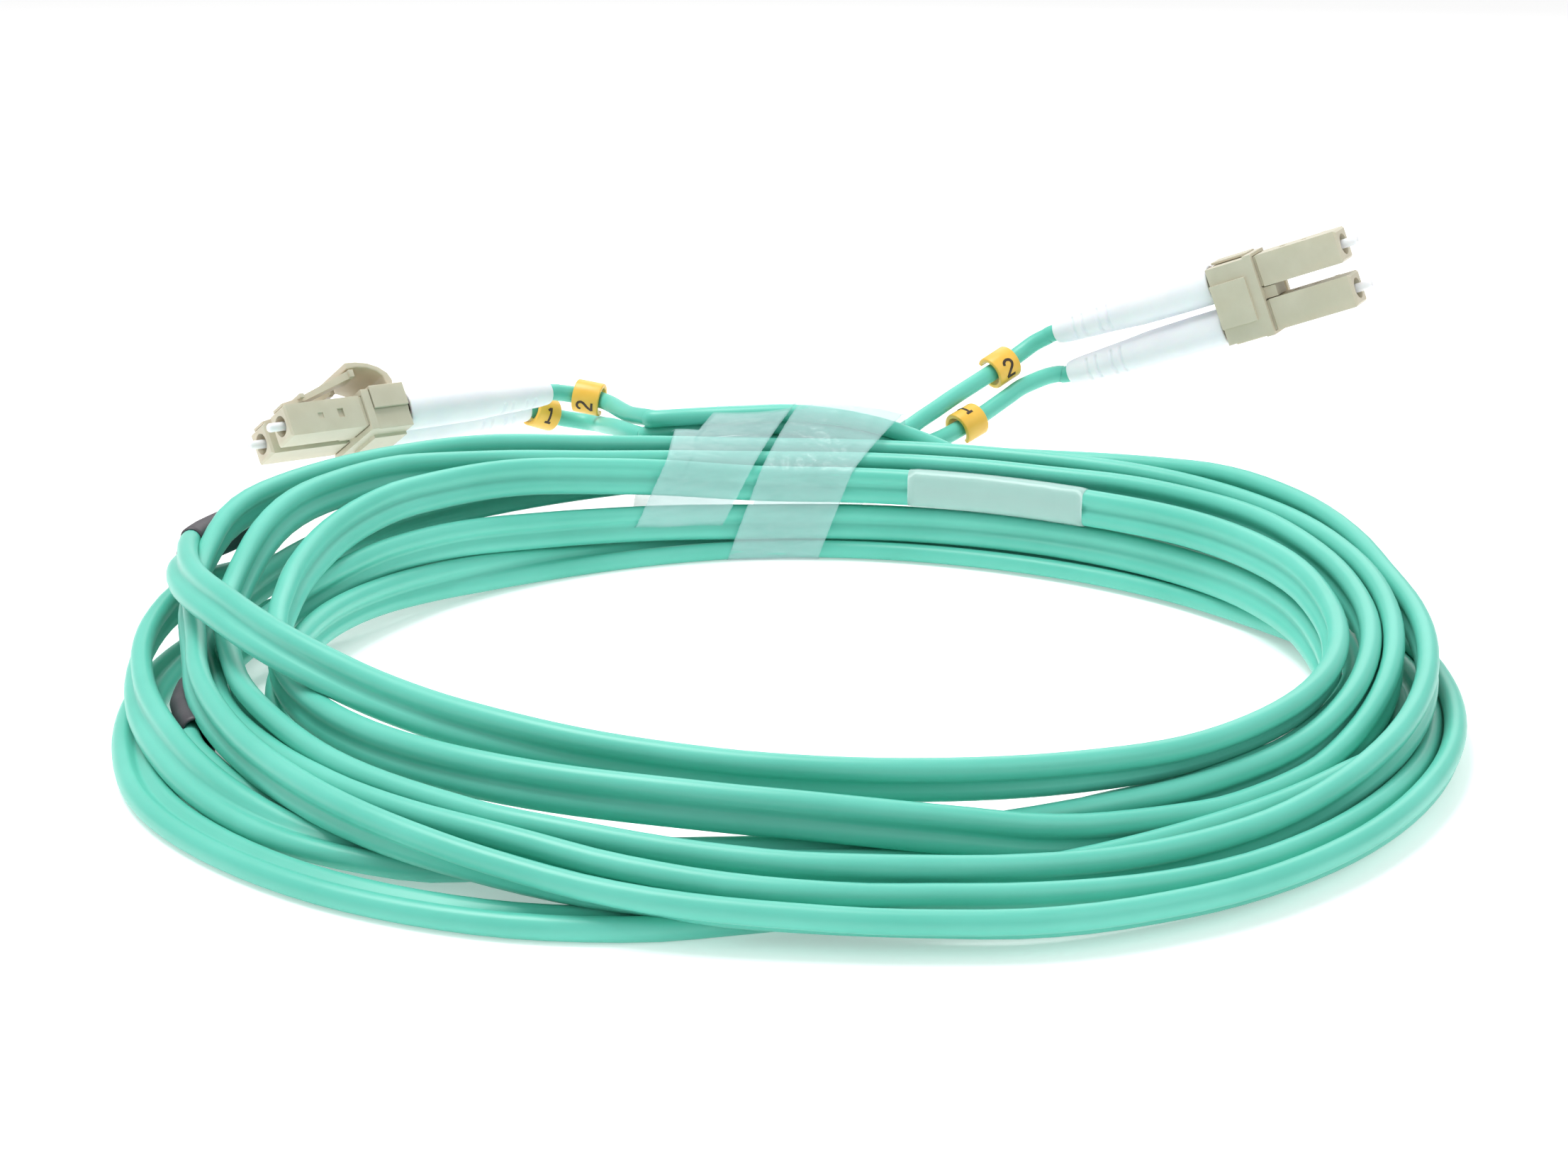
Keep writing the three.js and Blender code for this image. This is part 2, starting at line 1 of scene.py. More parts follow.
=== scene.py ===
# Duplex fibre optic patch cord, coiled and tied, with a plug pair on each end.
# Metres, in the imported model's frame: +Z up, the coil lies on z = 0, its front faces -Y.
import json
import math

import bmesh
import bpy
import numpy as np
from mathutils import Matrix, Vector


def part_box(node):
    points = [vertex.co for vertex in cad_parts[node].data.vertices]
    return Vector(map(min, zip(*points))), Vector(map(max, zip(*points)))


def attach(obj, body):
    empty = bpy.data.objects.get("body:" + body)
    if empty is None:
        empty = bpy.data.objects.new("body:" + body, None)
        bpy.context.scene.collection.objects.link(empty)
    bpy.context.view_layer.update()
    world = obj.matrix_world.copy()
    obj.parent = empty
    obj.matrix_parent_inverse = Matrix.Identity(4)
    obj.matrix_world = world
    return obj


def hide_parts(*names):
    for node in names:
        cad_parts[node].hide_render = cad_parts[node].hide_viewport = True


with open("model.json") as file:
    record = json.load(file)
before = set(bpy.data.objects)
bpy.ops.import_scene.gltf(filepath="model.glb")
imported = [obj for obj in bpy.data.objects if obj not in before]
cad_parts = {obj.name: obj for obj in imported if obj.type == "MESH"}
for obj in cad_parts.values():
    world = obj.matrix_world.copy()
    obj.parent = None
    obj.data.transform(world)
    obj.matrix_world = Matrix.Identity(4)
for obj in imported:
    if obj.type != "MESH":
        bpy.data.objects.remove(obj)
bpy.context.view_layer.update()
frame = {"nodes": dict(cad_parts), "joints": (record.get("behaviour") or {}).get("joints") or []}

MM = 0.001
ROOT = "cord_and_plugs"
ENDS = ("right", "left")
NUMBERS = (1, 2)

# ------------------------------------------------------------------ driving sizes, mm

COIL_OUTER = 74.2  # the CAD coil's outer radius at the front
LOBE = 2.4  # one lobe of the flat cord, and one round leg
LOBE_SPACING = 2.45  # between the flat cord's two lobe centres
WEB = 0.5  # half the thickness where the lobes join
TURN_STEP = 5  # degrees between sections while the turns settle
RINGS_PER_STEP = 2  # rings of the finished cord in each of those steps
PITCH = 6.25  # between the two plugs of a pair
BOOT_TAIL = 44.0  # where the leg leaves the boot, behind the plug's front face
LEG_START = 25.0  # where the leg begins inside the boot
TRIGGER_HINGE = (-17.6, 3.6)  # x and z of the trigger's hinge in the plug pair's frame

low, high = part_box("coil_lower")
COIL = Vector(((low.x + high.x) / 2, low.y + COIL_OUTER * MM, 0.0))


def coil_point(x, y, z):
    """A point given from the coil's centre in mm, in the row frame."""
    return COIL + Vector((x, y, z)) * MM


# ------------------------------------------------------------------ camera and stage

CAMERA_AT = (-1.1, -304.4, 98.3)  # from the coil's centre, mm
CAMERA_PITCH = 15.7
CAMERA_LENS = 64


def add_camera():
    data = bpy.data.cameras.new("camera")
    data.lens = CAMERA_LENS
    data.sensor_width = 36
    data.clip_start = 0.01
    camera = bpy.data.objects.new("camera", data)
    camera.location = coil_point(*CAMERA_AT)
    camera.rotation_euler = (math.radians(90 - CAMERA_PITCH), 0, 0)
    bpy.context.collection.objects.link(camera)
    bpy.context.scene.camera = camera


def area_light(name, place, size, power, color=(1, 1, 1)):
    data = bpy.data.lights.new(name, "AREA")
    data.energy = power
    data.size = size
    data.color = color
    light = bpy.data.objects.new(name, data)
    light.location = place
    aim = coil_point(0, 0, 10) - light.location
    light.rotation_euler = aim.to_track_quat("-Z", "Y").to_euler()
    bpy.context.collection.objects.link(light)


FLOOR_GLOW = 0.3  # keeps the floor white and its shadows pale
WORLD_LIGHT = 0.62


def add_stage():
    floor_material = new_material("floor_white", (0.93, 0.93, 0.93), 0.9)
    floor_shader = floor_material.node_tree.nodes["Principled BSDF"]
    floor_shader.inputs["Emission Color"].default_value = (1, 1, 1, 1)
    floor_shader.inputs["Emission Strength"].default_value = FLOOR_GLOW
    bpy.ops.mesh.primitive_plane_add(size=8, location=(0, 0, 0))
    floor = bpy.context.object
    floor.name = "floor"
    floor.data.materials.append(floor_material)

    world = bpy.data.worlds.new("studio")
    world.use_nodes = True
    background = world.node_tree.nodes["Background"]
    background.inputs["Color"].default_value = (1, 1, 1, 1)
    background.inputs["Strength"].default_value = WORLD_LIGHT
    bpy.context.scene.world = world

    area_light("key", (-0.25, 0.10, 0.80), 0.45, 5.5)
    area_light("fill", (0.55, -0.45, 0.60), 0.6, 1.2)
    area_light("back", (0.15, 0.75, 0.55), 0.6, 1.6)
    bpy.context.scene.view_settings.view_transform = "Standard"


# ------------------------------------------------------------------ materials


def new_material(name, color, roughness, metallic=0.0):
    material = bpy.data.materials.new(name)
    material.use_nodes = True
    shader = material.node_tree.nodes["Principled BSDF"]
    shader.inputs["Base Color"].default_value = (*color, 1)
    shader.inputs["Roughness"].default_value = roughness
    shader.inputs["Metallic"].default_value = metallic
    return material


def vary(material, color_a, color_b, scale, bump=0.0, bump_scale=None, rough=None):
    """Give a material noise in its colour, its surface and its roughness."""
    nodes, links = material.node_tree.nodes, material.node_tree.links
    shader = nodes["Principled BSDF"]
    place = nodes.new("ShaderNodeTexCoord")
    noise = nodes.new("ShaderNodeTexNoise")
    noise.inputs["Scale"].default_value = scale
    noise.inputs["Detail"].default_value = 4
    links.new(place.outputs["Object"], noise.inputs["Vector"])
    ramp = nodes.new("ShaderNodeValToRGB")
    ramp.color_ramp.elements[0].position = 0.35
    ramp.color_ramp.elements[1].position = 0.65
    ramp.color_ramp.elements[0].color = (*color_a, 1)
    ramp.color_ramp.elements[1].color = (*color_b, 1)
    links.new(noise.outputs["Fac"], ramp.inputs["Fac"])
    links.new(ramp.outputs["Color"], shader.inputs["Base Color"])
    if bump:
        fine = nodes.new("ShaderNodeTexNoise")
        fine.inputs["Scale"].default_value = bump_scale
        fine.inputs["Detail"].default_value = 3
        links.new(place.outputs["Object"], fine.inputs["Vector"])
        relief = nodes.new("ShaderNodeBump")
        relief.inputs["Strength"].default_value = bump
        relief.inputs["Distance"].default_value = 0.00005
        links.new(fine.outputs["Fac"], relief.inputs["Height"])
        links.new(relief.outputs["Normal"], shader.inputs["Normal"])
    if rough:
        spread = nodes.new("ShaderNodeMapRange")
        spread.inputs["To Min"].default_value = rough[0]
        spread.inputs["To Max"].default_value = rough[1]
        links.new(noise.outputs["Fac"], spread.inputs["Value"])
        links.new(spread.outputs["Result"], shader.inputs["Roughness"])
    return material


def aqua_jacket():
    """PVC cord jacket: smooth, a little translucent, with faint drawing marks."""
    material = new_material("aqua_jacket", (0.12, 0.56, 0.445), 0.38)
    vary(material, (0.11, 0.54, 0.425), (0.135, 0.585, 0.47), 60, 0.1, 2500, (0.32, 0.44))
    shader = material.node_tree.nodes["Principled BSDF"]
    shader.inputs["Subsurface Weight"].default_value = 0.15
    shader.inputs["Subsurface Radius"].default_value = (0.2, 1.0, 0.8)
    shader.inputs["Subsurface Scale"].default_value = 0.0012
    shader.inputs["Specular IOR Level"].default_value = 0.5
    return material


def beige_plastic():
    material = new_material("beige_plastic", (0.57, 0.53, 0.40), 0.42)
    vary(material, (0.56, 0.515, 0.39), (0.60, 0.555, 0.43), 300, 0.25, 4000, (0.36, 0.5))
    material.node_tree.nodes["Principled BSDF"].inputs["Subsurface Weight"].default_value = 0.05
    return material


def white_boot():
    material = new_material("white_boot", (0.86, 0.87, 0.92), 0.45)
    vary(material, (0.85, 0.86, 0.91), (0.89, 0.90, 0.94), 200, 0.15, 3000, (0.4, 0.52))
    shader = material.node_tree.nodes["Principled BSDF"]
    shader.inputs["Subsurface Weight"].default_value = 0.2
    shader.inputs["Subsurface Scale"].default_value = 0.001
    return material


def yellow_ring():
    material = new_material("yellow_ring", (0.87, 0.50, 0.06), 0.35)
    vary(material, (0.85, 0.48, 0.055), (0.90, 0.54, 0.085), 250, 0.12, 2500, (0.3, 0.42))
    return material


def dark_print():
    material = new_material("dark_print", (0.035, 0.018, 0.008), 0.5)
    return vary(material, (0.03, 0.015, 0.007), (0.05, 0.027, 0.012), 900, 0.1, 4000)


def ceramic():
    material = new_material("zirconia", (0.88, 0.89, 0.92), 0.15)
    vary(material, (0.87, 0.88, 0.91), (0.91, 0.92, 0.94), 500, 0.05, 3000)
    material.node_tree.nodes["Principled BSDF"].inputs["Subsurface Weight"].default_value = 0.1
    return material


def steel():
    material = new_material("bright_steel", (0.62, 0.63, 0.65), 0.28, 1.0)
    return vary(material, (0.58, 0.59, 0.61), (0.66, 0.67, 0.69), 800, 0.1, 5000, (0.2, 0.36))


def heat_shrink():
    material = new_material("heat_shrink", (0.05, 0.043, 0.052), 0.5)
    return vary(material, (0.045, 0.038, 0.048), (0.07, 0.062, 0.072), 400, 0.3, 1800, (0.42, 0.58))


def clear_film(name, color, alpha, wrinkle):
    """Thin clear film: it lets most of what is under it through and shines along its wrinkles."""
    material = new_material(name, color, 0.22)
    vary(material, color, tuple(min(1, c * 1.05) for c in color), 90, wrinkle, 260, (0.12, 0.3))
    shader = material.node_tree.nodes["Principled BSDF"]
    shader.inputs["Alpha"].default_value = alpha
    shader.inputs["Specular IOR Level"].default_value = 0.6
    for node in material.node_tree.nodes:
        if node.bl_idname == "ShaderNodeBump":
            node.inputs["Distance"].default_value = 0.0006
    return material


AQUA = aqua_jacket()
BEIGE = beige_plastic()
WHITE = white_boot()
YELLOW = yellow_ring()
PRINT = dark_print()
CERAMIC = ceramic()
STEEL = steel()
SHRINK = heat_shrink()
FILM = clear_film("wrap_film", (0.62, 0.86, 0.87), 0.27, 0.9)
LABEL = clear_film("label_film", (0.60, 0.80, 0.77), 0.42, 0.4)

# ------------------------------------------------------------------ mesh helpers


def make_piece(name, points, faces, material, body=ROOT, smooth=True):
    mesh = bpy.data.meshes.new(name)
    mesh.from_pydata([tuple(p) for p in points], [], faces)
    mesh.materials.append(material)
    work = bmesh.new()
    work.from_mesh(mesh)
    bmesh.ops.recalc_face_normals(work, faces=work.faces)
    work.to_mesh(mesh)
    work.free()
    mesh.polygons.foreach_set("use_smooth", [smooth] * len(mesh.polygons))
    piece = bpy.data.objects.new(name, mesh)
    bpy.context.collection.objects.link(piece)
    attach(piece, body)
    return piece


def skin(rings, closed=False, caps=True):
    """Points and faces of a tube through equal rings of points."""
    count, size = len(rings), len(rings[0])
    points = [p for ring in rings for p in ring]
    faces = []
    for i in range(count if closed else count - 1):
        here, after = i * size, ((i + 1) % count) * size
        for k in range(size):
            nxt = (k + 1) % size
            faces.append((here + k, here + nxt, after + nxt, after + k))
    if caps and not closed:
        faces.append(tuple(range(size))[::-1])
        faces.append(tuple((count - 1) * size + k for k in range(size)))
    return points, faces


def smooth_line(points, parts):
    """A Catmull-Rom line through points, with that many parts between neighbours."""
    p = np.asarray(points, float)
    p = np.vstack([2 * p[0] - p[1], p, 2 * p[-1] - p[-2]])
    t = (np.arange(parts) / parts)[:, None]
    out = []
    for i in range(1, len(p) - 2):
        a, b, c, d = p[i - 1], p[i], p[i + 1], p[i + 2]
        square = (2 * a - 5 * b + 4 * c - d) * t**2
        cube = (3 * b - 3 * c + d - a) * t**3
        out.append(0.5 * ((2 * b) + (c - a) * t + square + cube))
    return np.vstack([*out, p[-2:-1]])


# ------------------------------------------------------------------ the turns of the coil

# Each turn's way round: angle, radius and height of the cord's middle, and how
# far its upper lobe leans inwards. Angles run counterclockwise from +X; each row of knots
# carries on from the one before it.
TURNS = [
    [  # from the right pair's split, over the others and down to the front's inner edge
        (158, 73.6, 12.9, 0), (165, 73.2, 13.2, 5), (178, 69.6, 14.6, 32), (193, 64.4, 15.2, 42),
        (202, 61.0, 14.2, 34), (217, 56.2, 12.0, 20), (228, 54.8, 11.2, 14), (239, 54.4, 10.8, 5),
        (254, 54.4, 10.1, -5), (268, 55.0, 9.5, -10), (282, 56.4, 9.1, -14), (297, 58.0, 8.5, -14),
        (312, 59.3, 7.9, -16), (326, 60.0, 7.9, -10), (342, 60.5, 8.2, -5), (360, 61.0, 9.0, 0),
        (375, 61.2, 10.2, 0), (392, 61.0, 10.6, 0), (415, 60.8, 10.2, 0), (450, 60.6, 10.2, 0),
        (471, 61.0, 12.1, -5), (490, 61.0, 14.0, -12), (504, 60.6, 14.2, -16), (514, 60.4, 13.2, -18),
    ],
    [
        (527, 59.6, 10.9, -12), (537, 58.6, 9.2, -5), (552, 57.8, 8.2, 0), (567, 58.2, 8.0, 0),
        (585, 59.2, 8.2, 0), (602, 59.9, 8.5, 0), (615, 60.0, 8.4, -5), (629, 60.3, 7.6, -12),
        (641, 61.2, 6.1, -15), (654, 63.0, 4.1, -18), (663, 63.4, 3.3, -18), (672, 63.8, 2.6, -18),
        (682, 64.2, 2.6, -15), (694, 65.2, 4.2, -5), (706, 66.4, 6.8, 0), (720, 67.2, 9.4, 0),
        (731, 67.5, 11.0, 0), (745, 67.5, 12.4, 0), (765, 67.5, 13.0, 0), (785, 67.6, 12.6, 0),
        (810, 68.2, 12.4, 0), (830, 68.6, 13.6, 0), (850, 68.9, 16.0, 0), (866, 69.7, 16.4, 0),
        (878, 70.3, 16.2, 0), (886, 70.5, 14.8, 0),
    ],
    [
        (892, 70.0, 12.2, 0), (900, 68.6, 10.4, 0), (910, 66.8, 8.2, 0), (925, 66.8, 6.2, 5),
        (940, 67.8, 5.2, 5), (955, 70.2, 4.6, 0), (966, 71.6, 3.8, -14), (978, 72.8, 2.6, -29),
        (989, 73.7, 2.14, -40), (999, 75.4, 2.02, -48), (1009, 77.3, 2.02, -48), (1019, 77.2, 2.0, -49),
        (1030, 76.2, 2.0, -46), (1050, 74.0, 2.2, -30), (1080, 72.0, 2.4, 0), (1110, 71.2, 2.4, 0),
        (1140, 70.6, 2.4, 0), (1170, 69.8, 2.4, 0), (1200, 70.8, 2.6, 0), (1230, 73.2, 4.6, 0),
    ],
    [
        (1248, 74.2, 6.6, 0), (1260, 73.8, 5.6, 5), (1272, 72.8, 4.3, 20), (1285, 71.9, 3.2, 40),
        (1297, 71.8, 2.6, 50), (1307, 71.0, 2.0, 70), (1318, 68.6, 1.8, 80), (1330, 64.4, 3.2, 80),
        (1345, 61.6, 3.8, 85), (1360, 60.6, 3.8, 60), (1375, 60.4, 4.0, 20), (1388, 61.0, 4.2, 0),
        (1402, 61.8, 4.6, 0), (1420, 63.2, 6.4, 0), (1440, 64.4, 9.2, 0), (1455, 64.5, 11.1, 0),
        (1470, 64.5, 12.2, 0), (1485, 64.5, 12.1, 0), (1500, 64.2, 11.6, 0), (1530, 63.6, 11.6, 0),
        (1550, 63.6, 12.6, 0), (1570, 64.8, 14.8, 0), (1584, 65.6, 16.2, 0), (1596, 65.8, 15.9, 0),
    ],
    [
        (1605, 65.6, 14.0, 0), (1613, 65.0, 11.4, 0), (1622, 64.5, 9.5, 0), (1635, 63.2, 7.6, 0),
        (1650, 63.2, 6.6, 0), (1665, 64.6, 5.9, 0), (1678, 65.6, 5.4, 0), (1689, 67.4, 5.2, 0),
        (1700, 67.6, 4.0, 0), (1712, 68.3, 2.9, -10), (1725, 68.6, 2.1, -25), (1735, 69.0, 2.0, -40),
        (1748, 69.8, 2.4, -30), (1765, 70.2, 4.2, -10), (1782, 70.5, 6.4, 0), (1798, 70.6, 8.6, 0),
        (1808, 70.6, 9.8, 0), (1818, 70.6, 12.4, 0), (1828, 70.6, 13.9, 0), (1837, 70.6, 14.4, 0),
        (1848, 70.6, 13.5, 0), (1862, 70.7, 12.2, 0), (1890, 71.0, 10.6, 0), (1920, 70.4, 9.2, 0),
        (1945, 69.2, 8.0, 0),
    ],
    [
        (1968, 67.8, 6.0, 0), (1982, 66.6, 4.8, 0), (1995, 65.4, 4.4, 0), (2010, 65.4, 4.4, 0),
        (2025, 67.6, 5.2, 0), (2045, 69.8, 5.0, 0), (2058, 71.4, 3.7, -14), (2069, 72.0, 2.7, -38),
        (2079, 71.5, 1.95, -52), (2090, 73.1, 1.75, -65), (2097, 73.1, 1.4, -80), (2105, 73.1, 1.25, -90),
        (2125, 72.2, 1.25, -90), (2145, 70.6, 1.3, -90), (2160, 70.0, 1.25, -90), (2190, 69.4, 1.25, -90),
        (2220, 67.0, 1.3, -90), (2250, 65.4, 1.3, -90), (2280, 68.0, 1.3, -90), (2310, 70.6, 1.4, -90),
    ],
    [
        (2330, 72.2, 1.5, -88), (2345, 72.6, 1.4, -88), (2358, 73.4, 1.3, -90), (2375, 75.2, 1.3, -90),
        (2393, 75.6, 1.3, -90), (2407, 74.7, 1.3, -90), (2418, 72.2, 1.25, -90), (2427, 69.0, 1.25, -90),
        (2438, 66.6, 1.3, -80), (2452, 66.8, 2.2, -30), (2470, 67.0, 2.4, 0), (2482, 67.2, 2.3, -10),
        (2495, 67.0, 1.6, -70), (2508, 66.2, 1.25, -90), (2520, 65.6, 1.25, -90), (2535, 64.2, 1.25, -90),
        (2550, 62.8, 1.25, -90), (2580, 61.8, 1.25, -90), (2610, 62.4, 1.25, -90),
        (2632, 61.0, 1.6, -70), (2645, 59.6, 2.4, -40), (2660, 58.0, 3.6, -5), (2675, 57.4, 4.6, 10),
        (2688, 57.2, 5.0, 8),
    ],
    [
        (2700, 57.6, 4.4, 0), (2712, 58.4, 3.6, 0), (2725, 59.4, 3.0, 0), (2740, 58.2, 2.0, -40),
        (2760, 56.0, 1.3, -85), (2790, 55.6, 1.3, -85), (2820, 58.0, 1.6, -70), (2850, 61.0, 2.4, 0),
        (2865, 61.6, 2.5, 0), (2880, 62.0, 3.3, 0), (2895, 62.2, 4.6, 0), (2910, 62.2, 4.9, 0),
        (2940, 61.8, 4.9, 0), (2970, 61.2, 4.9, 0),
        (2990, 60.4, 5.8, 0), (3005, 59.4, 7.0, 0), (3020, 58.8, 8.4, 0), (3032, 58.9, 8.8, 0),
        (3042, 60.2, 8.0, 0), (3053, 63.2, 6.2, 0), (3065, 66.2, 4.6, 0), (3076, 68.0, 3.7, 0),
    ],
]

# The legs' way inside the bundle: angle, and radius and height of leg 1 and of leg 2.
RIGHT_LEGS = [
    (158, 73.6, 11.7, 73.6, 14.1), (150, 74.0, 12.2, 74.0, 14.7), (138, 73.9, 12.8, 73.9, 15.3),
    (125, 73.4, 12.4, 73.4, 14.9), (112, 72.9, 11.4, 72.9, 13.9), (100, 72.8, 10.6, 72.8, 13.1),
    (90, 73.1, 11.0, 73.1, 13.5), (80, 74.0, 11.6, 74.0, 14.2),
]
LEFT_LEGS = [
    (196, 68.0, 2.5, 68.0, 4.9), (206, 69.2, 1.5, 69.2, 3.9), (216, 69.4, 1.3, 69.0, 3.6),
    (226, 68.2, 1.25, 66.0, 1.9), (236, 65.2, 1.25, 62.8, 1.25), (248, 62.4, 1.25, 60.0, 1.25),
    (262, 61.8, 1.25, 59.4, 1.25), (280, 61.6, 1.25, 59.2, 1.25), (300, 60.8, 1.25, 58.4, 3.3),
    (330, 63.4, 1.25, 61.6, 3.0), (360, 65.6, 1.25, 64.4, 3.2), (390, 66.0, 1.3, 65.2, 3.6),
    (415, 70.2, 3.6, 70.4, 6.0), (430, 71.6, 8.0, 71.6, 10.4), (440, 71.8, 12.2, 71.6, 14.7),
    (452, 72.6, 14.4, 71.8, 16.7), (464, 74.0, 13.9, 74.4, 16.5),
]
ZIP_FIRST, ZIP_LAST = 160, 3075  # where the flat cord starts and ends, degrees along it
RIGHT_JOIN, LEFT_JOIN = 80, 465  # where the legs leave the bundle at the wraps
RIGHT_SPLIT, LEFT_SPLIT = 155, 200  # where the legs begin at the split sleeves

# How the turns settle. A thread's give is how readily it moves out of another's way.
ROUNDS = 300
EARLY_TURNS = 1080  # the turns up to this angle lie on top and keep their chosen way
EARLY_GIVE, LATE_GIVE, LEG_GIVE = 0.2, 0.8, 1.0
CLEAR = LOBE + 0.03  # between the middles of two lobes, mm
PULL = 0.06  # share of its shift that a thread takes back each round, at first
SMOOTHINGS = 3  # times in each round that the threads' shifts are smoothed
PUSHES = 3
PUSH_SHARE = 0.8


def stations(knots, first, last):
    """Knots read off at every TURN_STEP degrees, on a smooth line."""
    table = np.array(sorted(knots), float)
    angles = np.arange(min(first, last), max(first, last) + 1, TURN_STEP)
    columns = [soft_interp(angles, table[:, 0], table[:, k]) for k in range(1, table.shape[1])]
    return angles, np.stack(columns, axis=1)


def soft_interp(x, knots, values):
    """Cubic through the knots with limited slopes, so that it doesn't overshoot."""
    widths = np.diff(knots)
    slopes = np.diff(values) / widths
    tangent = np.zeros(len(knots))
    same_way = slopes[1:] * slopes[:-1] > 0
    tangent[1:-1][same_way] = 2 / (1 / slopes[1:][same_way] + 1 / slopes[:-1][same_way])
    tangent[0], tangent[-1] = slopes[0], slopes[-1]
    i = np.clip(np.searchsorted(knots, x) - 1, 0, len(knots) - 2)
    t = np.clip((x - knots[i]) / widths[i], 0, 1)
    h = widths[i]
    return (
        values[i] * (1 + 2 * t) * (1 - t) ** 2 + tangent[i] * h * t * (1 - t) ** 2
        + values[i + 1] * t**2 * (3 - 2 * t) + tangent[i + 1] * h * t**2 * (t - 1)
    )


def start_threads():
    """Every lobe and leg as a thread of angles and of radii and heights."""
    angles, zipped = stations([knot for turn in TURNS for knot in turn], ZIP_FIRST, ZIP_LAST)
    lean = np.radians(zipped[:, 2])
    half = LOBE_SPACING / 2 * np.stack([-np.sin(lean), np.cos(lean)], axis=1)
    threads = [(angles, zipped[:, :2] + half), (angles, zipped[:, :2] - half)]
    stretches = ((RIGHT_LEGS, RIGHT_JOIN, RIGHT_SPLIT), (LEFT_LEGS, LEFT_SPLIT, LEFT_JOIN))
    for knots, first, last in stretches:
        along, legs = stations(knots, first, last)
        threads += [(along, legs[:, :2]), (along, legs[:, 2:])]
    return threads


def section_slots(angle):
    """Rows of the places that share a section of the coil, filled up with -1."""
    section = (angle % 360) // TURN_STEP
    groups = [np.flatnonzero(section == s) for s in range(360 // TURN_STEP)]
    slots = np.full((len(groups), max(len(g) for g in groups)), -1)
    for row, group in enumerate(groups):
        slots[row, : len(group)] = group
    return slots


def pairs_apart(slots, zipped):
    """Which places of a section must keep clear of each other: all but a cord's own two lobes."""
    filled = slots >= 0
    one, other = slots[:, :, None], slots[:, None, :]
    pairs = filled[:, :, None] & filled[:, None, :] & ~np.eye(slots.shape[1], dtype=bool)[None]
    lobes = (np.abs(one - other) == zipped) & (np.minimum(one, other) < zipped)
    return pairs & ~(lobes & (np.maximum(one, other) < 2 * zipped))


def between_ends(starts, total):
    """The places that have a neighbour on both sides of them in their thread."""
    inner = np.ones(total, bool)
    inner[starts[:-1]] = False
    inner[starts[1:] - 1] = False
    return np.flatnonzero(inner)


def hold_lobes(place, zipped):
    """Bring the flat cord's two lobes back to their spacing."""
    gap = place[:zipped] - place[zipped : 2 * zipped]
    far = np.linalg.norm(gap, axis=1, keepdims=True)
    fix = gap / far * (far - LOBE_SPACING) / 2
    place[:zipped] -= fix
    place[zipped : 2 * zipped] += fix


def push_apart(place, slots, pairs, share):
    """Move the places that are too close away from each other, and none below the floor."""
    here = place[slots]
    apart = here[:, :, None, :] - here[:, None, :, :]
    distance = np.linalg.norm(apart, axis=3) + 1e-9
    short = np.where(pairs & (distance < CLEAR), CLEAR - distance, 0)
    push = (apart / distance[..., None] * (short * share)[..., None] * PUSH_SHARE).sum(axis=2)
    filled = slots >= 0
    place[slots[filled]] += push[filled]
    place[:, 1] = np.maximum(place[:, 1], LOBE / 2)


def settle(threads):
    """Push lobes that lie in each other apart, section by section, while every thread stays
    smooth, above the floor and near its chosen way."""
    place = np.vstack([t[1] for t in threads])
    wish = place.copy()
    angle = np.concatenate([t[0] for t in threads])
    starts = np.cumsum([0] + [len(t[0]) for t in threads])
    zipped = starts[1]
    slots = section_slots(angle)
    pairs = pairs_apart(slots, zipped)
    inner = between_ends(starts, len(place))
    give = np.where(angle < EARLY_TURNS, EARLY_GIVE, LATE_GIVE)
    give[2 * zipped :] = LEG_GIVE
    near = give[slots]
    share = near[:, :, None] / (near[:, :, None] + near[:, None, :])
    for step in range(ROUNDS):
        late = step / ROUNDS
        place += PULL * (1 - late) * (wish - place)
        for _ in range(SMOOTHINGS):
            shift = place - wish
            place[inner] += 0.5 * ((shift[inner - 1] + shift[inner + 1]) / 2 - shift[inner])
        for _ in range(PUSHES):
            hold_lobes(place, zipped)
            push_apart(place, slots, pairs, share)
    here = place[slots]
    distance = np.linalg.norm(here[:, :, None, :] - here[:, None, :, :], axis=3)
    closest = distance[pairs].min()
    moved = np.abs(place - wish).max()
    print(f"coil settled: closest lobes {closest:.2f} mm, moved {moved:.1f} mm at most")
    return [(t[0], place[starts[i] : starts[i + 1]]) for i, t in enumerate(threads)]


def in_space(angles, radius_height):
    turn = np.radians(angles)
    radius, height = radius_height[:, 0], radius_height[:, 1]
    return np.stack([radius * np.cos(turn), radius * np.sin(turn), height], axis=1)


def to_row(points):
    return np.asarray(points) * MM + np.array(COIL)


THREADS = settle(start_threads())
UPPER, LOWER = THREADS[:2]
LEG_THREADS = dict(zip([(end, number) for end in ENDS for number in NUMBERS], THREADS[2:]))


def zip_section():
    """The flat cord's outline: two round lobes joined by a web, along a and across b, mm."""
    radius = LOBE / 2
    joint = math.asin(WEB / radius) * 1.35
    outline = []
    for side in (1, -1):
        for k in range(13):
            turn = -math.pi + joint + k / 12 * 2 * (math.pi - joint)
            along = side * (LOBE_SPACING / 2 + radius * math.cos(turn))
            outline.append((along, side * radius * math.sin(turn)))
    return outline


def frames_along(path, across):
    """Unit vectors along and square to a path, the first turned towards `across`."""
    along = np.gradient(path, axis=0)
    along /= np.linalg.norm(along, axis=1, keepdims=True)
    first = across - (across * along).sum(axis=1, keepdims=True) * along
    first /= np.linalg.norm(first, axis=1, keepdims=True)
    return first, np.cross(along, first)


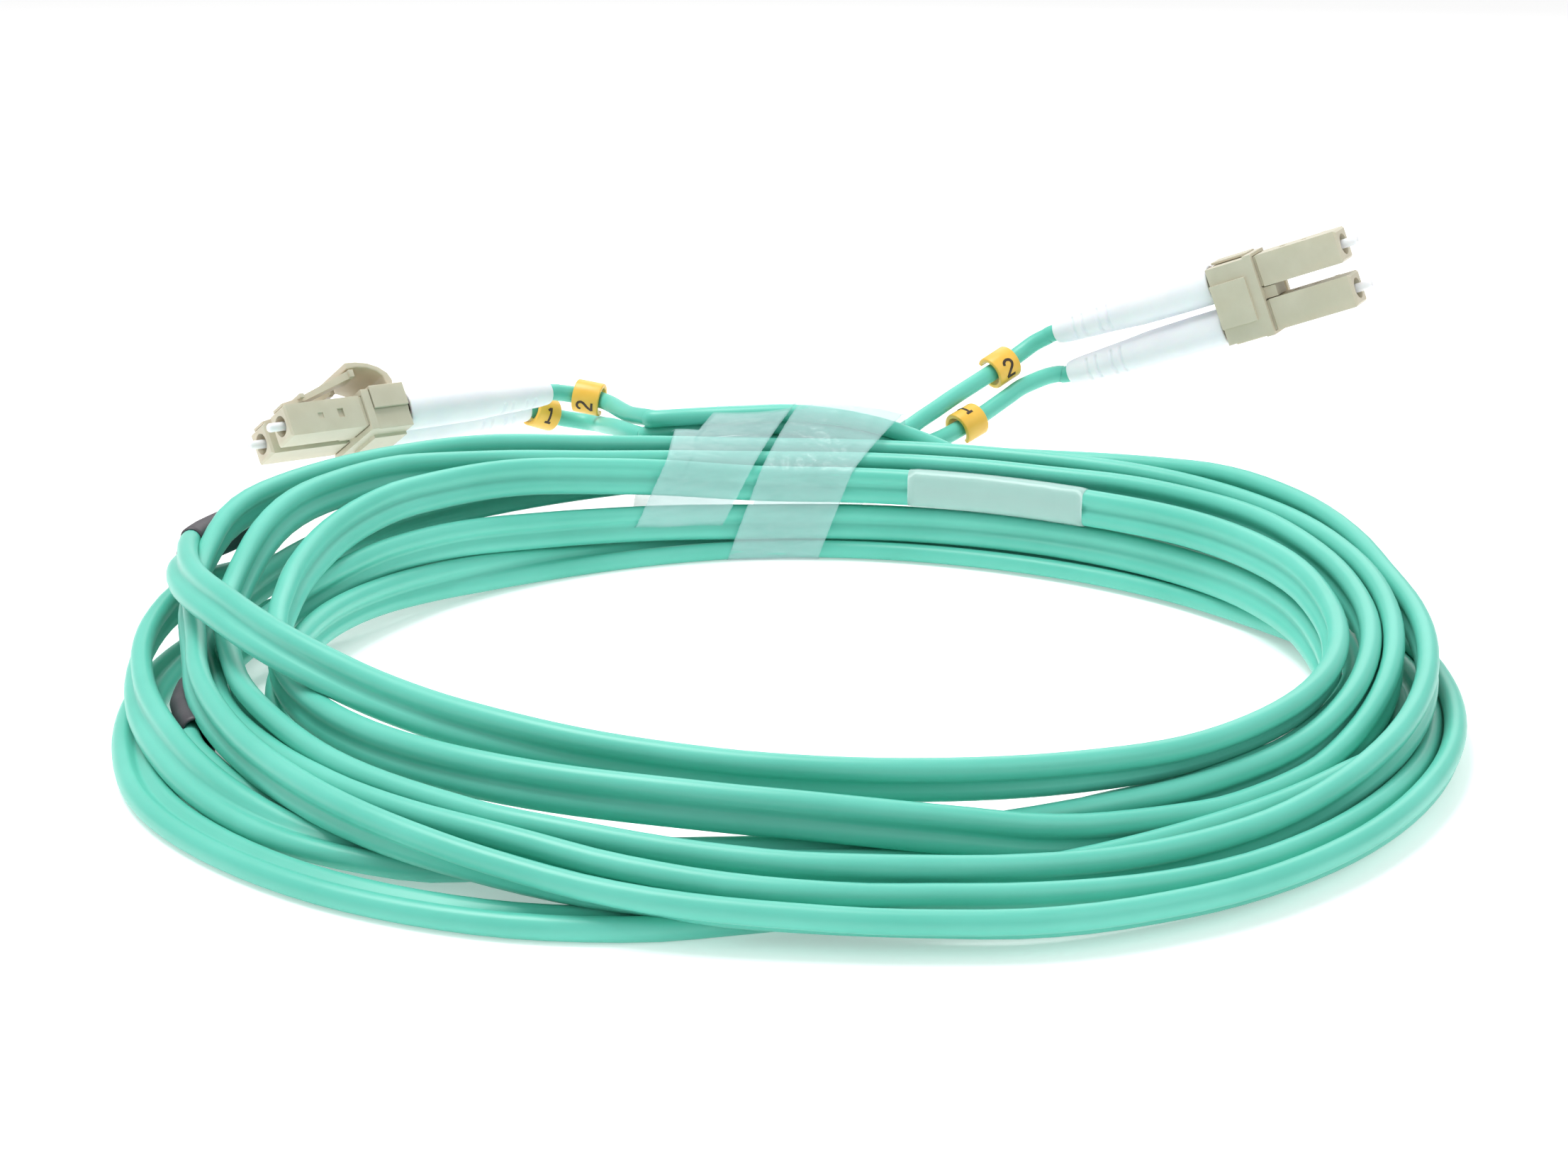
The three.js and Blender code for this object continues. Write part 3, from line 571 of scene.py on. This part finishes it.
def add_zip_cord():
    upper = smooth_line(in_space(*UPPER), RINGS_PER_STEP)
    lower = smooth_line(in_space(*LOWER), RINGS_PER_STEP)
    middle = (upper + lower) / 2
    first, second = frames_along(middle, upper - lower)
    outline = zip_section()
    rings = [
        to_row([middle[i] + a * first[i] + b * second[i] for a, b in outline])
        for i in range(len(middle))
    ]
    points, faces = skin(rings)
    piece = make_piece("flat_cord", points, faces, AQUA)
    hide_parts("coil_lower", "coil_upper")
    path = to_row(middle)
    length = float(np.linalg.norm(np.diff(path, axis=0), axis=1).sum())
    print(f"flat cord {length:.3f} m")
    return piece, path, length


# ------------------------------------------------------------------ plug pairs


def pair_frame(end):
    """The plug pair's frame, from the joints: x forward, y across the plugs, z to the latches."""
    joints = {j["name"]: j for j in frame["joints"]}
    x = -Vector(joints[f"{end}_ferrule_1_float"]["axis"])
    y = Vector(joints[f"{end}_trigger_press"]["axis"])
    z = x.cross(y)
    hinge = Vector(joints[f"{end}_trigger_press"]["pos_m"])
    face = hinge - (x * TRIGGER_HINGE[0] + z * TRIGGER_HINGE[1]) * MM
    return Matrix((x, y, z)).transposed().to_4x4(), face


def plug_side(end, number):
    flip = -1 if end == "right" else 1
    return (-1 if number == 1 else 1) * flip


def plug_point(end, number, x, y, z):
    turn, face = pair_frame(end)
    return face + turn @ (Vector((x, y + plug_side(end, number) * PITCH / 2, z)) * MM)


# Each leg's way from its boot's tail to the wraps, as in the CAD model, from the coil's centre.
LEG_ROUTES = {
    ("right", 1): [
        (38.4, 88.3, 19.8), (36.6, 88.0, 19.5), (34.6, 87.2, 18.9), (32.6, 86.1, 18.2),
        (30.8, 84.9, 17.2), (29.1, 83.6, 16.3), (27.4, 82.3, 15.4), (25.7, 80.9, 14.6),
        (23.7, 79.3, 13.8), (21.5, 77.6, 13.0), (19.3, 76.0, 12.4), (17.2, 74.7, 11.9),
        (15.2, 73.7, 11.8),
    ],
    ("right", 2): [
        (36.4, 89.1, 25.0), (34.7, 89.5, 24.0), (33.0, 89.2, 22.8), (31.2, 88.2, 21.7),
        (29.2, 86.8, 20.7), (27.0, 85.0, 19.7), (24.8, 83.2, 18.7), (22.4, 81.2, 17.6),
        (20.2, 79.3, 16.5), (18.2, 77.4, 15.6), (16.6, 75.6, 14.9), (15.0, 74.0, 14.4),
    ],
    ("left", 1): [
        (-37.2, 96.6, 12.5), (-35.5, 98.0, 11.7), (-33.9, 98.9, 11.0), (-32.0, 99.3, 10.6),
        (-30.2, 98.9, 10.4), (-28.8, 97.6, 10.5), (-28.0, 95.6, 10.8), (-27.5, 92.6, 11.4),
        (-27.0, 89.0, 12.1), (-26.2, 85.4, 12.8), (-25.1, 82.0, 13.4), (-23.8, 78.6, 13.8),
        (-22.2, 75.4, 14.0), (-20.4, 73.4, 14.0),
    ],
    ("left", 2): [
        (-33.6, 92.7, 16.1), (-31.9, 93.5, 15.7), (-30.2, 93.8, 15.3), (-28.5, 93.4, 15.1),
        (-27.0, 92.2, 14.9), (-25.9, 90.4, 14.8), (-25.0, 87.8, 14.9), (-24.0, 85.0, 15.0),
        (-22.9, 82.0, 15.2), (-21.8, 79.2, 15.6), (-20.5, 76.6, 16.0), (-19.1, 74.1, 16.3),
    ],
}


def leg_line(end, number):
    """The whole leg from inside its boot to the split, in the row frame."""
    depths = (LEG_START, (LEG_START + BOOT_TAIL) / 2, BOOT_TAIL)
    start = [plug_point(end, number, -x, 0, 0) for x in depths]
    free = [coil_point(*p) for p in LEG_ROUTES[end, number]]
    bundle = to_row(in_space(*LEG_THREADS[end, number]))
    if end == "left":
        bundle = bundle[::-1]
    return smooth_line(np.vstack([np.array(start), np.array(free), bundle]), 5)


def round_tube(path, radius, sides):
    """Rings of a round tube along a path, carried along it without twisting."""
    along = np.gradient(path, axis=0)
    along /= np.linalg.norm(along, axis=1, keepdims=True)
    first = np.cross(along[0], (0, 0, 1))
    rings = []
    turns = np.arange(sides) / sides * 2 * math.pi
    for point, direction in zip(path, along):
        first = first - first.dot(direction) * direction
        first /= np.linalg.norm(first)
        second = np.cross(direction, first)
        rings.append([point + radius * (math.cos(t) * first + math.sin(t) * second) for t in turns])
    return rings


def add_leg(end, number):
    path = leg_line(end, number)
    points, faces = skin(round_tube(path, LOBE / 2 * MM, 20))
    piece = make_piece(f"{end}_leg_tube_{number}", points, faces, AQUA)
    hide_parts(f"{end}_leg_{number}")
    return piece, path


# ------------------------------------------------------------------ boots, ferrules, rings


def lathe_rings(profile, sides, shape=None):
    """Rings of x, y and z in mm about the x axis; shape may change a ring's radius at each turn."""
    rings = []
    for x, radius in profile:
        ring = []
        for k in range(sides):
            turn = k / sides * 2 * math.pi
            r = radius if shape is None else shape(x, turn, radius)
            ring.append((x, r * math.cos(turn), r * math.sin(turn)))
        rings.append(ring)
    return rings


def place_rings(end, number, rings):
    return [[plug_point(end, number, *p) for p in ring] for ring in rings]


SLOT_GROUPS = (4.2, 8.2)  # middles of the flex slots, from the boot's tail
SLOT_OFFSETS = (-0.75, 0.75)
SLOT_WIDTH = 0.42
SLOT_DEPTH = 0.28
SLOT_REACH = math.radians(50)  # half the arc that a slot runs over


def boot_radius(x, turn, radius):
    """The boot's skin with its flex slots, two pairs on each of two sides."""
    depth = 0.0
    for back in SLOT_GROUPS:
        for offset in SLOT_OFFSETS:
            across = abs(x + BOOT_TAIL - back - offset) / (SLOT_WIDTH / 2)
            side = min(abs(turn - math.pi / 2), abs(turn - 3 * math.pi / 2)) / SLOT_REACH
            inside = min(max((1.25 - across) / 0.5, 0), 1) * min(max((1.08 - side) / 0.16, 0), 1)
            depth = max(depth, SLOT_DEPTH * inside)
    return radius - depth


def boot_profile():
    """Outside of the boot from its front to its tail, close rings where the slots are."""
    spans = [
        ((-19.3, 2.62), (-19.5, 2.75), 2), ((-19.5, 2.75), (-24.0, 2.75), 4),
        ((-24.0, 2.75), (-31.0, 2.63), 6), ((-31.0, 2.63), (-34.5, 2.36), 5),
        ((-34.5, 2.36), (-42.0, 1.96), 60), ((-42.0, 1.96), (-43.6, 1.76), 6),
        ((-43.6, 1.76), (-43.9, 1.66), 2), ((-43.9, 1.66), (-44.0, 1.5), 2),
    ]
    profile = [spans[0][0]]
    for (x0, r0), (x1, r1), parts in spans:
        for k in range(1, parts + 1):
            profile.append((x0 + (x1 - x0) * k / parts, r0 + (r1 - r0) * k / parts))
    inside = [(-44.0, 1.3), (-43.0, 1.25), (-24.4, 1.25), (-24.4, 2.1), (-19.3, 2.1)]
    return profile, inside


def add_boot(end, number):
    outside, inside = boot_profile()
    rings = lathe_rings(outside, 72, boot_radius) + lathe_rings(inside, 72)
    points, faces = skin(place_rings(end, number, rings), closed=True)
    piece = make_piece(f"{end}_strain_boot_{number}", points, faces, WHITE)
    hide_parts(f"{end}_boot_{number}")
    return piece


def add_ferrule(end, number):
    profile = [
        (-8.0, 0.02), (-8.0, 0.625), (1.55, 0.625), (1.7, 0.61), (1.85, 0.55), (1.96, 0.44),
        (2.0, 0.3), (2.02, 0.07), (1.98, 0.065), (1.98, 0.01),
    ]
    points, faces = skin(place_rings(end, number, lathe_rings(profile, 40)))
    name, body = f"{end}_ceramic_ferrule_{number}", f"{end}_ferrule_{number}"
    piece = make_piece(name, points, faces, CERAMIC, body)
    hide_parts(f"{end}_ferrule_{number}")


# Number rings: how far along the leg from the boot's tail, and where the slot points, mm.
RING_PLACES = {
    ("right", 1): (19.0, (0.2, 0.2, -1.0)), ("right", 2): (10.3, (0.5, 1.0, 0.3)),
    ("left", 1): (2.8, (0.0, 1.0, -0.2)), ("left", 2): (6.8, (-0.2, 1.0, -0.6)),
}
RING_INNER, RING_OUTER, RING_LENGTH = 1.75, 2.4, 4.0
RING_OPENING = math.radians(80)


def ring_frame(end, number, path):
    along, opening = RING_PLACES[end, number]
    steps = np.linalg.norm(np.diff(path, axis=0), axis=1)
    distance = np.concatenate([[0], np.cumsum(steps)]) / MM

    def at(where):
        return Vector([np.interp(where, distance, path[:, k]) for k in range(3)])

    middle = BOOT_TAIL - LEG_START + along
    before, after = at(middle - RING_LENGTH / 2), at(middle + RING_LENGTH / 2)
    axis = (after - before).normalized()
    side = Vector(opening) - axis * axis.dot(Vector(opening))
    side.normalize()
    centre = ((before + after) / 2 + at(middle)) / 2
    return centre, side, axis.cross(side), axis


def add_number_ring(end, number, path):
    centre, side, across, axis = ring_frame(end, number, path)
    start, stop = RING_OPENING / 2, 2 * math.pi - RING_OPENING / 2
    half, soft = RING_LENGTH / 2, 0.12
    section = [
        (RING_INNER, -half + soft), (RING_INNER + soft, -half), (RING_OUTER - soft, -half),
        (RING_OUTER, -half + soft), (RING_OUTER, half - soft), (RING_OUTER - soft, half),
        (RING_INNER + soft, half), (RING_INNER, half - soft),
    ]
    rings = []
    for k in range(49):
        turn = start + (stop - start) * k / 48
        out = side * math.cos(turn) + across * math.sin(turn)
        rings.append([centre + (out * r + axis * x) * MM for r, x in section])
    points, faces = skin(rings)
    piece = make_piece(f"{end}_number_ring_{number}", points, faces, YELLOW)
    bevel = piece.modifiers.new("bevel", "BEVEL")
    bevel.width = 0.00008
    bevel.segments = 2
    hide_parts(f"{end}_marker_{number}")
    add_numeral(end, number, centre, side, across, axis)


# Strokes of the numerals, across and up, for a figure 1 high.
STROKES = {
    1: [[(-0.2, 0.3), (0.02, 0.5), (0.02, -0.5)], [(-0.2, -0.5), (0.24, -0.5)]],
    2: [[(-0.27, 0.25), (-0.2, 0.42), (0.0, 0.5), (0.2, 0.42), (0.27, 0.24), (0.2, 0.05),
         (-0.06, -0.22), (-0.28, -0.5)], [(-0.28, -0.5), (0.3, -0.5)]],
}
# Where each numeral stands: degrees round the ring from its slot, its height, and which way is up.
NUMERAL_PLACES = {
    ("right", 1): (180, 2.3, 180), ("right", 2): (180, 2.5, 180),
    ("left", 1): (180, 2.3, 0), ("left", 2): (235, 2.2, 90),
}
STROKE_WIDTH = 0.16  # of the numeral's height
PRINT_LIFT, PRINT_DEPTH = 0.02, -0.06  # the print's top and foot above the ring, mm


def add_numeral(end, number, centre, side, across, axis):
    turned, tall, spin = NUMERAL_PLACES[end, number]
    middle = math.radians(turned)
    spun = math.radians(spin)
    width = STROKE_WIDTH * tall
    radius = RING_OUTER + 0.03
    points, faces = [], []

    def put(u, v, lift):
        """A point u along the ring's curve and v along its axis."""
        u, v = u * math.cos(spun) - v * math.sin(spun), u * math.sin(spun) + v * math.cos(spun)
        turn = middle - v / radius
        out = side * math.cos(turn) + across * math.sin(turn)
        return centre + (out * (radius + lift) + axis * u) * MM

    for stroke in STROKES[number]:
        line = smooth_line(stroke, 4) if len(stroke) > 3 else smooth_line(stroke, 1)
        fine = []
        for a, b in zip(line[:-1], line[1:]):
            fine += [a + (b - a) * k / 3 for k in range(3)]
        fine.append(line[-1])
        fine = np.array(fine) * tall
        direction = np.gradient(fine, axis=0)
        direction /= np.linalg.norm(direction, axis=1, keepdims=True)
        normal = np.stack([-direction[:, 1], direction[:, 0]], axis=1)
        rings = []
        for p, n in zip(fine, normal):
            left, right = p + n * width / 2, p - n * width / 2
            rings.append([
                put(*left, PRINT_LIFT), put(*right, PRINT_LIFT),
                put(*right, PRINT_DEPTH), put(*left, PRINT_DEPTH),
            ])
        more, sides = skin(rings)
        base = len(points)
        points += more
        faces += [tuple(base + i for i in face) for face in sides]
    make_piece(f"{end}_numeral_{number}", points, faces, PRINT, smooth=False)


# ------------------------------------------------------------------ moulded pieces

# Material, slot, body (None for the piece's own) and width of the rounded edges in metres.
BEVELLED = {
    "housing": (BEIGE, "housing", ROOT, 0.00016), "latch": (BEIGE, "housing", None, 0.00012),
    "clip_base": (BEIGE, "housing", ROOT, 0.00014), "clip_cover": (BEIGE, "housing", ROOT, 0.00012),
    "trigger": (BEIGE, "housing", None, 0.00018),
}


def add_moulded(node, kind):
    """A moulded piece with the CAD piece's shape and rounded edges."""
    material, slot_name, body, width = BEVELLED[kind]
    source = frame["nodes"][node]
    mesh = source.data.copy()
    mesh.materials.clear()
    mesh.materials.append(material)
    piece = bpy.data.objects.new(f"{node}_moulded", mesh)
    bpy.context.collection.objects.link(piece)
    work = bmesh.new()
    work.from_mesh(mesh)
    bmesh.ops.remove_doubles(work, verts=work.verts, dist=1e-6)
    bmesh.ops.dissolve_limit(
        work, angle_limit=math.radians(1), verts=work.verts, edges=work.edges,
    )
    work.to_mesh(mesh)
    work.free()
    bevel = piece.modifiers.new("bevel", "BEVEL")
    bevel.width = width
    bevel.segments = 3
    bevel.limit_method = "ANGLE"
    bevel.angle_limit = math.radians(28)
    bevel.harden_normals = True
    mesh.polygons.foreach_set("use_smooth", [True] * len(mesh.polygons))
    normals = piece.modifiers.new("normals", "WEIGHTED_NORMAL")
    normals.keep_sharp = True
    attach(piece, body or node)
    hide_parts(node)


def finish_inner_parts():
    """Materials for the CAD pieces that stay: those inside the plugs."""
    for end in ENDS:
        for number in NUMBERS:
            for kind, material in (
                ("flange", STEEL), ("spring", STEEL), ("crimp_sleeve", STEEL),
                ("stop_body", BEIGE), ("buffer_tube", WHITE),
            ):
                node = frame["nodes"][f"{end}_{kind}_{number}"]
                node.data.materials.clear()
                node.data.materials.append(material)


# ------------------------------------------------------------------ film wraps, label, shrinks

LEAN_RADIUS, LEAN_HEIGHT = 65.5, 8.0  # where a wrap lies at its own angle, mm
WRAP_WIDTH = 13.6
FILM_THICK = 0.18
FILM_POINTS = 96  # in the outline of the film
FILM_STEPS = 28  # across the wrap's width
# Each wrap: its angle, its lean in degrees for each mm of radius and of height, the height above
# which it holds the threads, and how loosely, in mm.
WRAPS = {"right": (88.5, (-0.2, -0.36), -1, 0.12), "left": (102.3, (-0.2, -0.5), 6.2, 0.34)}


def hull(points):
    """The convex outline round a set of points, counterclockwise."""
    points = sorted(map(tuple, points))

    def half(run):
        out = []
        for p in run:
            while len(out) > 1:
                (x0, y0), (x1, y1) = out[-2:]
                if (x1 - x0) * (p[1] - y0) - (y1 - y0) * (p[0] - x0) > 0:
                    break
                out.pop()
            out.append(p)
        return out[:-1]

    return half(points) + half(points[::-1])


def threads_at(angle, lowest):
    """Radius and height of each lobe and leg at one angle, those above a height."""
    found = []
    for angles, places in THREADS:
        for turn in range(9):
            where = angle + 360 * turn
            if angles[0] <= where <= angles[-1]:
                point = [np.interp(where, angles, places[:, k]) for k in (0, 1)]
                if point[1] > lowest:
                    found.append(point)
    return found


def film_outline(angle, lowest, grow):
    """The outline of film stretched round the threads, with evenly spaced points."""
    ring = []
    for r, z in threads_at(angle, lowest):
        for k in range(16):
            turn = k / 16 * 2 * math.pi
            reach = LOBE / 2 + grow
            ring.append((r + reach * math.cos(turn), max(z + reach * math.sin(turn), 0.03 - grow)))
    outline = np.array(hull(ring))
    start = np.argmin(outline[:, 0] + 0.3 * outline[:, 1])
    outline = np.roll(outline, -start, axis=0)
    closed = np.vstack([outline, outline[:1]])
    along = np.concatenate([[0], np.cumsum(np.linalg.norm(np.diff(closed, axis=0), axis=1))])
    even = np.arange(FILM_POINTS) / FILM_POINTS * along[-1]
    return np.stack([np.interp(even, along, closed[:, k]) for k in (0, 1)], axis=1)


def film_ring(side, share, grow):
    """One ring of a wrap, a share of the way across its width, with shallow creases."""
    middle, (by_radius, by_height), lowest, _ = WRAPS[side]
    reach = math.degrees(WRAP_WIDTH / LEAN_RADIUS / 2)
    angle = middle - reach + 2 * reach * share
    ring = []
    for k, (r, z) in enumerate(film_outline(angle, lowest, grow)):
        crease = 0.10 * math.sin(k * 0.9 + 5 * share) * math.sin(math.pi * share) ** 0.5
        crease += 0.06 * math.sin(k * 2.3 - 9 * share)
        lean = by_radius * (r - LEAN_RADIUS) + by_height * (z - LEAN_HEIGHT)
        turn = math.radians(angle + lean)
        wide = r + crease
        ring.append((wide * math.cos(turn), wide * math.sin(turn), max(z + 0.5 * crease, 0.02)))
    return ring


def add_wrap(side):
    slack = WRAPS[side][3]
    shares = [i / FILM_STEPS for i in range(FILM_STEPS + 1)]
    outer = [film_ring(side, share, slack + FILM_THICK) for share in shares]
    inner = [film_ring(side, share, slack) for share in shares]
    rings = [to_row(ring) for ring in outer + inner[::-1]]
    points, faces = skin(rings, closed=True)
    piece = make_piece(f"{side}_film_wrap", points, faces, FILM)
    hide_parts(f"{side}_wrap")


def oval_sleeve(name, node, middle, first, second, wide, tall, wall, material, slot_name):
    """A short oval sleeve round a stretch of cord."""
    rings = []
    for grow in (0.0, -wall):
        row = []
        for i, (centre, a, b) in enumerate(zip(middle, first, second)):
            edge = min(i, len(middle) - 1 - i)
            soft = 0.12 if edge == 0 and grow == 0 else 0.0
            ring = []
            for k in range(40):
                turn = k / 40 * 2 * math.pi
                half = wide / 2 + grow - soft
                rise = tall / 2 - wide / 2
                lift = rise * max(-1, min(1, 3.2 * math.sin(turn)))
                ring.append(centre + b * half * math.cos(turn) + a * (lift + half * math.sin(turn)))
            row.append(ring)
        rings.append(row)
    rings = [to_row(ring) for ring in rings[0] + rings[1][::-1]]
    points, faces = skin(rings, closed=True)
    piece = make_piece(name, points, faces, material)
    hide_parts(node)


def stretch(first_angle, last_angle, steps=24):
    """Middle and directions of the flat cord between two angles along it."""
    angles = np.linspace(first_angle, last_angle, steps)
    lobes = []
    for along, places in (UPPER, LOWER):
        inside = np.clip(angles, along[0], along[-1])
        lobe = np.stack([np.interp(inside, along, places[:, k]) for k in (0, 1)], axis=1)
        lobes.append(in_space(angles, lobe))
    middle = (lobes[0] + lobes[1]) / 2
    first, second = frames_along(middle, lobes[0] - lobes[1])
    return middle, first, second


def add_sleeves():
    """Each sleeve: name, node, first and last degree, width, height and wall in mm, and finish."""
    spans = (
        ("right_heat_shrink", "right_split_sleeve", 157, 169.5, 3.0, 5.4, 0.3, SHRINK, "shrink"),
        ("left_heat_shrink", "left_split_sleeve", 3070, 3083, 3.0, 5.4, 0.3, SHRINK, "shrink"),
        ("label_wrap", "label_sleeve", 411, 435, 2.75, 5.2, 0.12, LABEL, "label_film"),
    )
    for name, node, start, stop, wide, tall, wall, material, slot_name in spans:
        oval_sleeve(name, node, *stretch(start, stop), wide, tall, wall, material, slot_name)


# ------------------------------------------------------------------ assembly

add_camera()
flat_cord, flat_path, flat_length = add_zip_cord()
legs = {(end, number): add_leg(end, number) for end in ENDS for number in NUMBERS}
add_stage()
boots = {key: add_boot(*key) for key in legs}
for key, (_, leg_path) in legs.items():
    add_number_ring(*key, leg_path)
    add_ferrule(*key)
for end in ENDS:
    for number in NUMBERS:
        add_moulded(f"{end}_housing_{number}", "housing")
        add_moulded(f"{end}_latch_{number}", "latch")
    for kind in ("clip_base", "clip_cover", "trigger"):
        add_moulded(f"{end}_{kind}", kind)
finish_inner_parts()
for side in WRAPS:
    add_wrap(side)
add_sleeves()
